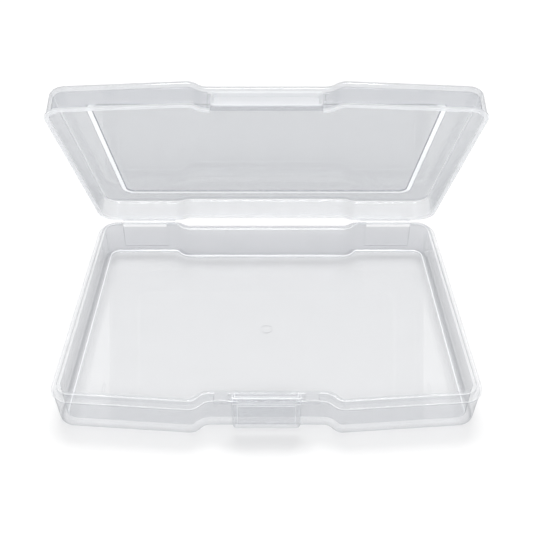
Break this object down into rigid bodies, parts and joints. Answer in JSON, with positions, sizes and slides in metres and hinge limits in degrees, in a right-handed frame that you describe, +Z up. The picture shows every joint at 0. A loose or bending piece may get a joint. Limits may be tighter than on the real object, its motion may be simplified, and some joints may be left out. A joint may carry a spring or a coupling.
{
  "type": "hinged flat storage case",
  "caption": "Flat clear plastic case with a rounded rectangular tray, a lid on living-hinge webs and a rocking snap latch at the front.",
  "frame": {"origin": "on the table under the middle of the tray", "axes": "+X to the right along the hinge, +Y to the back (hinge side), +Z up; the latch is at -Y"},
  "size_m": [0.162, 0.1243, 0.1171],
  "materials": {
    "clear_tray": "clear polypropylene, glossy, very slightly hazy",
    "clear_lid": "clear polypropylene, glossy, very slightly hazy",
    "clear_latch": "clear polypropylene, glossy",
    "clear_web": "clear polypropylene, thin and flexible"
  },
  "bodies": {
    "tray": {"base_tray": "clear_tray", "hinge_web_left": "clear_web", "hinge_web_right": "clear_web"},
    "lid": {"lid": "clear_lid"},
    "latch": {"latch_lever": "clear_latch"}
  },
  "joints": [
    {"name": "lid_hinge", "type": "hinge", "parent": "tray", "child": "lid", "pos_m": [0, 0.05873, 0.015], "axis": [-1, 0, 0], "range_deg": [-56.5, 123.5], "deforming": ["hinge_web_left", "hinge_web_right"]},
    {"name": "latch_pivot", "type": "hinge", "parent": "tray", "child": "latch", "pos_m": [0, -0.0541, 0.0166], "axis": [1, 0, 0], "range_deg": [0, 10]}
  ]
}
